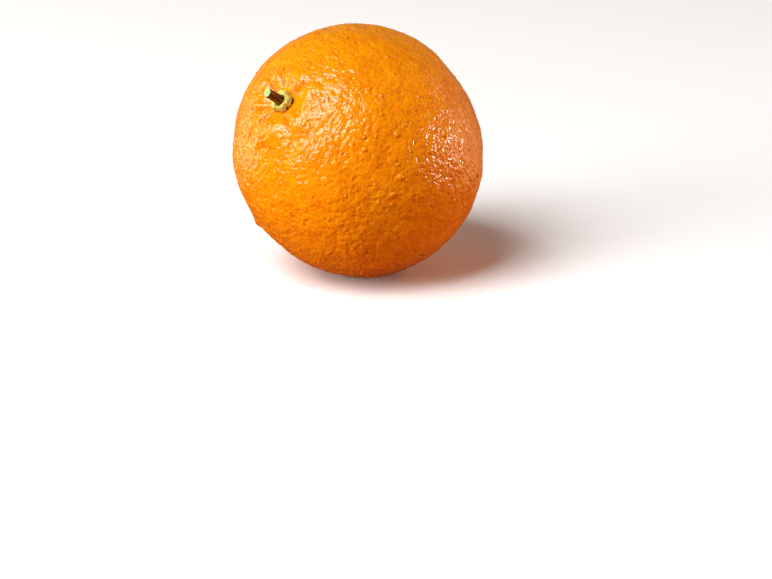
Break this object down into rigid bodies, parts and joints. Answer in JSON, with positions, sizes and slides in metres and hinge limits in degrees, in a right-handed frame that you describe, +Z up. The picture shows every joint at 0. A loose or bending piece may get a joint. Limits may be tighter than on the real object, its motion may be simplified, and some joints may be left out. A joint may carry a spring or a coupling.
{
  "type": "orange",
  "caption": "Whole ripe orange with a pebbled rind, a puckered stem end with its lobed calyx and short clipped stem, and a small flat spot to rest on",
  "frame": {"origin": "on the surface that the fruit rests on, under the middle of the fruit", "axes": "+Z up as the fruit rests, stem end leaning 56 degrees from +Z towards -Y"},
  "size_m": [0.0777, 0.0791, 0.0776],
  "materials": {
    "rind": "glossy waxy orange rind, pitted over its oil glands",
    "calyx": "matt pale yellow-green, granular",
    "stem_bark": "matt dark brown ridged bark, pale green where it is cut"
  },
  "bodies": {
    "root": {"fruit": "rind", "calyx": "calyx", "stem_stub": "stem_bark"}
  },
  "joints": []
}
